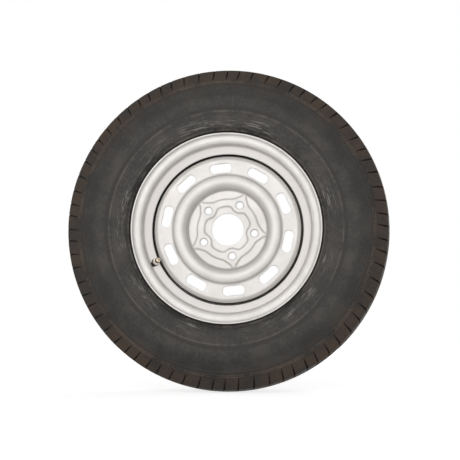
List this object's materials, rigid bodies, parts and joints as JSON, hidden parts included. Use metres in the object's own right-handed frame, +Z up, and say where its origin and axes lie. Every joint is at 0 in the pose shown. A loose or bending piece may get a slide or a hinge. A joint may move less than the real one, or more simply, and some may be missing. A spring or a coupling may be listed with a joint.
{
  "type": "caravan wheel",
  "caption": "Silver pressed-steel caravan wheel with vent slots and stud holes, carrying a radial trailer tyre with notched shoulders, and a clamp-in tyre valve.",
  "frame": {"origin": "centre of the wheel, on the axle line at the middle of the rim's width", "axes": "Y along the axle with the outer face towards -Y, +Z up, +X to the right seen from outside"},
  "size_m": [0.6659, 0.198, 0.666],
  "materials": {
    "tyre_rubber": "matt moulded rubber, dusty charcoal",
    "silver_paint": "satin silver wheel paint on steel",
    "plated_brass": "nickel plated turned brass",
    "black_rubber": "smooth moulded rubber",
    "bare_brass": "turned brass",
    "seal_plastic": "red seal plastic",
    "spring_steel": "drawn spring wire"
  },
  "bodies": {
    "wheel": {"tyre": "tyre_rubber", "rim": "silver_paint", "wheel_disc": "silver_paint", "disc_weld_beads": "silver_paint", "valve_stem": "plated_brass", "valve_nut": "plated_brass", "valve_washer": "plated_brass", "valve_grommet": "black_rubber", "core_body": "bare_brass", "core_gasket": "seal_plastic", "core_spring": "spring_steel"},
    "pin": {"core_pin": "bare_brass", "core_seal": "black_rubber"}
  },
  "joints": [
    {"name": "core_pin_press", "type": "slide", "parent": "wheel", "child": "pin", "axis": [-0.5011, 0.8347, -0.2283], "range_m": [0, 0.0012], "stiffness_N_per_m": 1000, "springref_m": -0.003, "deforming": ["core_spring"]}
  ]
}
